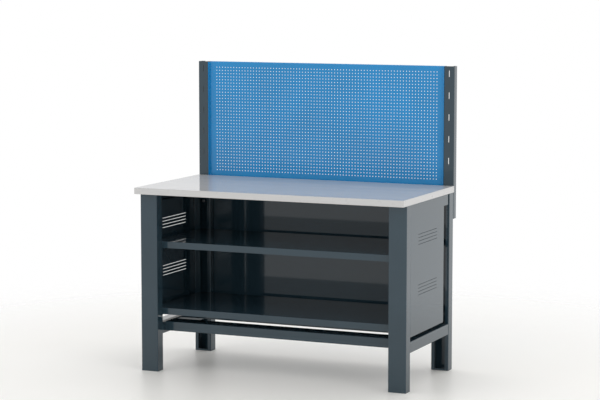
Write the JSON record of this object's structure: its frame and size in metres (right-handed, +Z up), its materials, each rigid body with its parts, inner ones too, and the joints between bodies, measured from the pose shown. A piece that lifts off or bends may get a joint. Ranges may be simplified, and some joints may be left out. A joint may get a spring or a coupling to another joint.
{
  "type": "workbench with shelved body and perforated tool panel",
  "caption": "Steel workbench with a laminated worktop, an open body with fixed shelves and vented sides, and a perforated tool panel on slotted uprights behind the worktop.",
  "frame": {"origin": "on the floor, under the middle of the bench's whole width and depth", "axes": "+Z up, +X to the right as seen from the front, +Y to the rear, towards the tool panel"},
  "size_m": [1.4, 0.7422, 1.498],
  "materials": {
    "frame_paint": "gloss powder coat, blue grey",
    "panel_paint": "satin powder coat, light blue",
    "laminate": "semi-gloss pale grey laminate",
    "edge_band": "satin pale grey",
    "board": "raw chipboard",
    "zinc": "bright zinc plate"
  },
  "bodies": {
    "root": {"worktop_core": "board", "worktop_laminate": "laminate", "worktop_balance_sheet": "laminate", "edge_band_front": "edge_band", "edge_band_rear": "edge_band", "edge_band_left": "edge_band", "edge_band_right": "edge_band", "leg_front_left": "frame_paint", "leg_front_right": "frame_paint", "leg_rear_left": "frame_paint", "leg_rear_right": "frame_paint", "foot_plate_front_left": "frame_paint", "foot_plate_front_right": "frame_paint", "foot_plate_rear_left": "frame_paint", "foot_plate_rear_right": "frame_paint", "lower_side_rail_left": "frame_paint", "lower_side_rail_right": "frame_paint", "top_side_rail_left": "frame_paint", "top_side_rail_right": "frame_paint", "front_stretcher": "frame_paint", "rear_stretcher": "frame_paint", "side_panel_left": "frame_paint", "side_panel_right": "frame_paint", "back_panel": "frame_paint", "middle_shelf": "frame_paint", "bottom_shelf": "frame_paint", "upright_left": "frame_paint", "upright_right": "frame_paint", "tool_panel": "panel_paint", "upright_bolt_left_lower": "zinc", "upright_bolt_left_upper": "zinc", "upright_bolt_right_lower": "zinc", "upright_bolt_right_upper": "zinc", "upright_nut_left_lower": "zinc", "upright_nut_left_upper": "zinc", "upright_nut_right_lower": "zinc", "upright_nut_right_upper": "zinc"}
  },
  "joints": []
}
